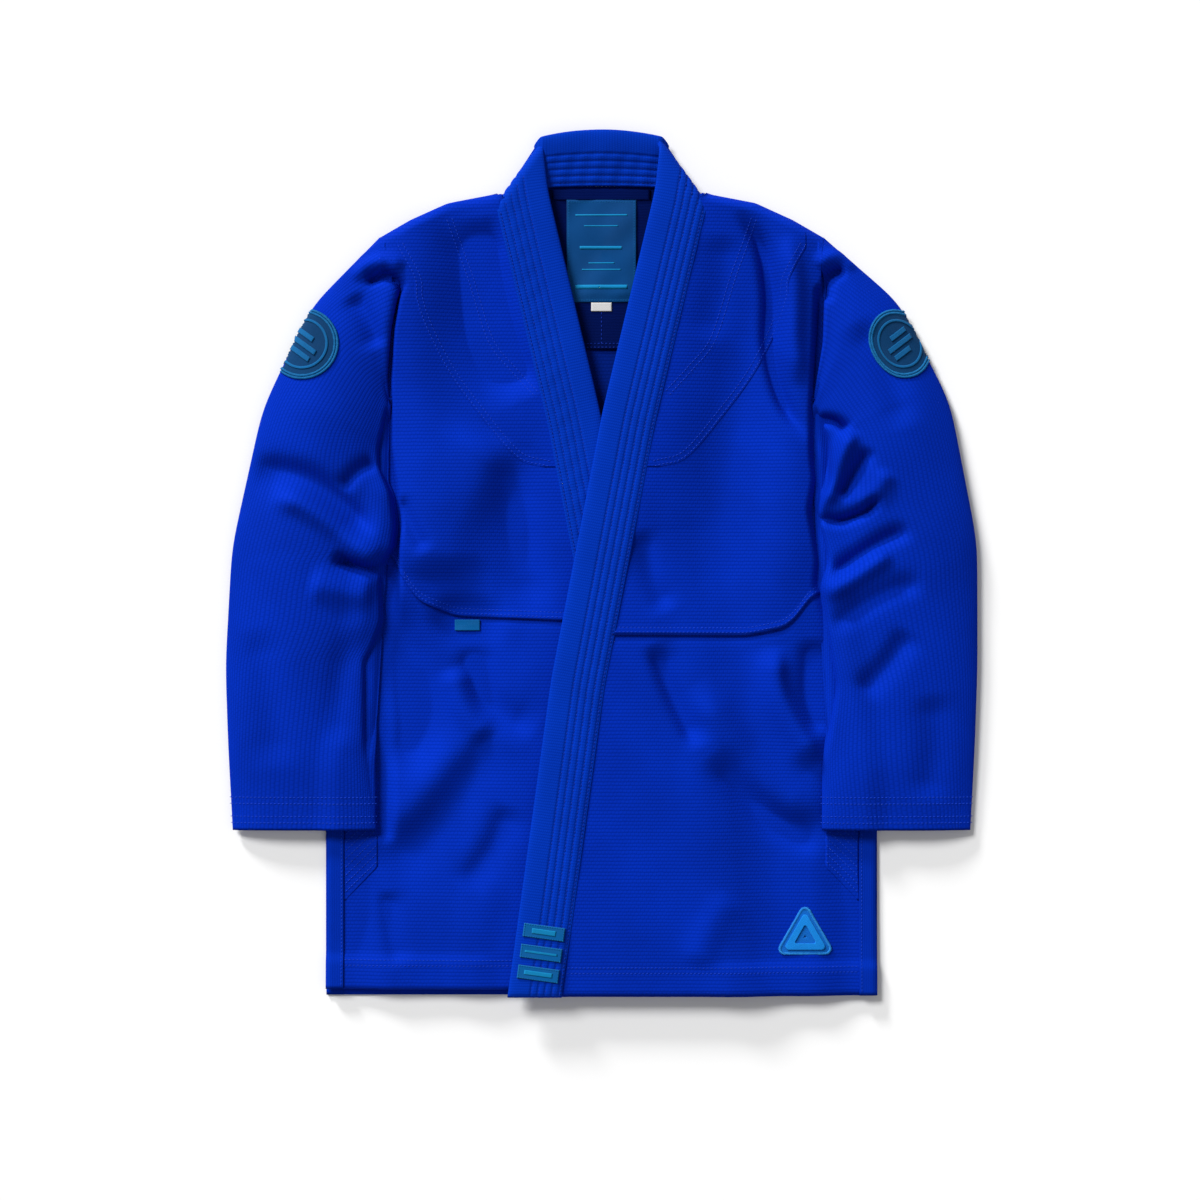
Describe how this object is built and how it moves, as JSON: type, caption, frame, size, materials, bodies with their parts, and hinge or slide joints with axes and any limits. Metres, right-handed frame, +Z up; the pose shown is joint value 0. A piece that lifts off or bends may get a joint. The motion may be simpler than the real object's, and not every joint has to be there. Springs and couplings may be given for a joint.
{
  "type": "martial arts uniform jacket",
  "caption": "Heavy cotton martial arts jacket lying flat, left front over right, with a stitched collar band, waist seam, side vents and open sleeves.",
  "frame": {"origin": "on the floor under the middle of the jacket, which lies on its back", "axes": "+Z up from the floor, +Y towards the collar, +X towards the wearer's left"},
  "size_m": [0.688, 0.796, 0.0385],
  "materials": {
    "body_cloth": "heavy pearl-weave cotton, royal blue",
    "band_cloth": "close-woven cotton drill, stitched in rows, a lighter royal blue",
    "tape": "twill tape, royal blue",
    "band_core": "closed-cell foam strip",
    "satin_label": "woven satin, teal blue",
    "size_tag": "white satin ribbon",
    "embroidered_patch": "embroidered twill with a merrowed rim, light blue"
  },
  "bodies": {
    "torso": {"back_panel": "body_cloth", "back_skirt": "body_cloth", "hem_back": "body_cloth", "back_yoke": "body_cloth", "neck_tape": "tape", "neck_label": "satin_label", "collar_cover": "band_cloth", "collar_core": "band_core", "chest_left_side": "body_cloth", "skirt_left_side": "body_cloth", "hem_left_side": "body_cloth", "lapel_cover_left_side": "band_cloth", "lapel_core_left_side": "band_core", "chest_right_side": "body_cloth", "skirt_right_side": "body_cloth", "hem_right_side": "body_cloth", "lapel_cover_right_side": "band_cloth", "lapel_core_right_side": "band_core", "shoulder_patch_left": "body_cloth", "shoulder_patch_right": "body_cloth", "vent_gusset_left": "tape", "vent_gusset_right": "tape", "vent_tape_front_left": "tape", "vent_tape_front_right": "tape", "vent_tape_back_left": "tape", "vent_tape_back_right": "tape", "skirt_patch": "embroidered_patch"},
    "front_left": {"chest_left_flap": "body_cloth", "skirt_left_flap": "body_cloth", "hem_left_flap": "body_cloth", "lapel_cover_left_flap": "band_cloth", "lapel_core_left_flap": "band_core", "lapel_bar_1": "satin_label", "lapel_bar_2": "satin_label", "lapel_bar_3": "satin_label"},
    "front_right": {"chest_right_flap": "body_cloth", "skirt_right_flap": "body_cloth", "hem_right_flap": "body_cloth", "lapel_cover_right_flap": "band_cloth", "lapel_core_right_flap": "band_core"},
    "sleeve_left": {"sleeve_left": "body_cloth", "cuff_tape_left": "tape", "roundel_left": "embroidered_patch"},
    "sleeve_right": {"sleeve_right": "body_cloth", "cuff_tape_right": "tape", "roundel_right": "embroidered_patch"},
    "size_tag": {"size_tag": "size_tag"},
    "waist_tab": {"waist_tab": "satin_label"}
  },
  "joints": [
    {"name": "front_left_open", "type": "hinge", "parent": "torso", "child": "front_left", "pos_m": [0.048, 0.333, 0.0233], "axis": [-0.1448, 0.9895, 0], "range_deg": [0, 150]},
    {"name": "front_right_open", "type": "hinge", "parent": "torso", "child": "front_right", "pos_m": [-0.048, 0.333, 0.016], "axis": [-0.0369, -0.9993, 0], "range_deg": [0, 60]},
    {"name": "sleeve_left_swing", "type": "hinge", "parent": "torso", "child": "sleeve_left", "pos_m": [0.203, 0.297, 0.02], "axis": [0, 0, 1], "range_deg": [0, 60]},
    {"name": "sleeve_right_swing", "type": "hinge", "parent": "torso", "child": "sleeve_right", "pos_m": [-0.203, 0.297, 0.02], "axis": [0, 0, -1], "range_deg": [0, 60]},
    {"name": "size_tag_lift", "type": "hinge", "parent": "torso", "child": "size_tag", "pos_m": [0, 0.23825, 0.0046], "axis": [-1, 0, 0], "range_deg": [0, 150]},
    {"name": "waist_tab_lift", "type": "hinge", "parent": "torso", "child": "waist_tab", "pos_m": [-0.123, -0.05285, 0.0062], "axis": [-1, 0, 0], "range_deg": [0, 150]}
  ],
  "couplings": [
    {"joint": "front_right_open", "follows": "front_left_open", "ratio": 0.4}
  ]
}
